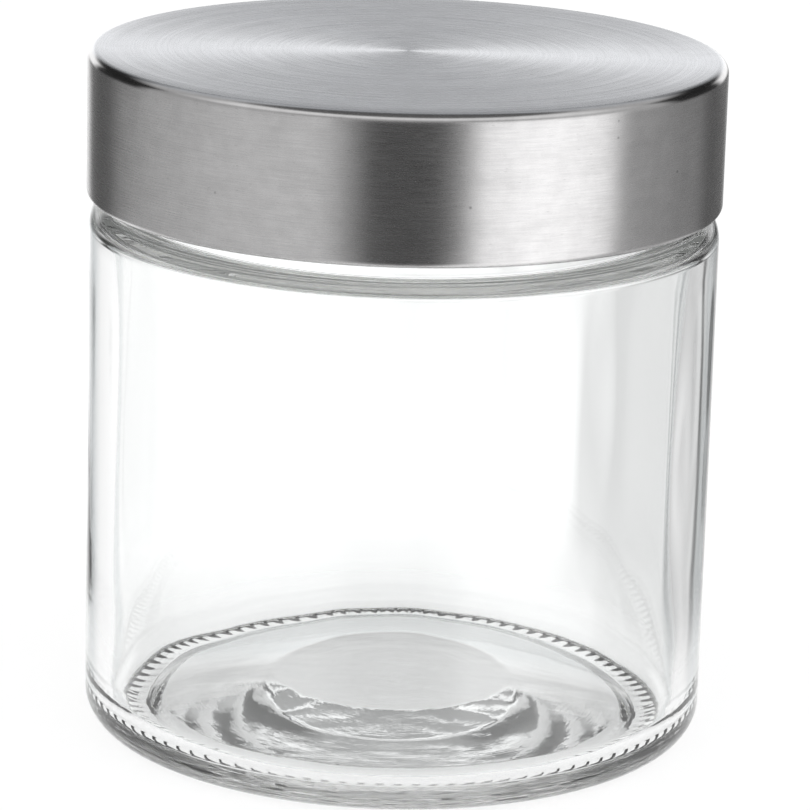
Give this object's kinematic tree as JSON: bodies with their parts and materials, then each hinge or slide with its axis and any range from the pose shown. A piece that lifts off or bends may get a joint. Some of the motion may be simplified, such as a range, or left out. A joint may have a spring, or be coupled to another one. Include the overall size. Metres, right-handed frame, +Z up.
{
  "type": "spice jar",
  "caption": "Squat round clear glass spice jar with a thick pushed-up base and rounded shoulder, closed by a flat brushed steel screw lid with a plastic insert and soft seal.",
  "frame": {"origin": "middle of the ring that the jar stands on", "axes": "+Z up along the jar's own axis, through the middle of the lid; the jar is round, so +X and +Y are free, and -Y is the pictured side"},
  "size_m": [0.064, 0.064, 0.0696],
  "materials": {
    "clear_glass": "clear, faint cool grey at the edges",
    "brushed_steel": "fine brushing, round on top and level round the side",
    "insert_plastic": "satin moulded, off-white",
    "seal_silicone": "matte, translucent white"
  },
  "bodies": {
    "jar": {"glass_jar": "clear_glass"},
    "seal": {"seal_ring": "seal_silicone"},
    "lid": {"lid_shell": "brushed_steel", "lid_insert": "insert_plastic"}
  },
  "joints": [
    {"name": "lid_rise", "type": "slide", "parent": "jar", "child": "seal", "axis": [0, 0, 1], "range_m": [0, 0.01501]},
    {"name": "lid_turn", "type": "hinge", "parent": "seal", "child": "lid", "pos_m": [0, 0, 0.0667], "axis": [0, 0, 1], "range_deg": [0, 450]}
  ],
  "couplings": [
    {"joint": "lid_rise", "follows": "lid_turn", "m_per_rad": 0.0019099}
  ]
}
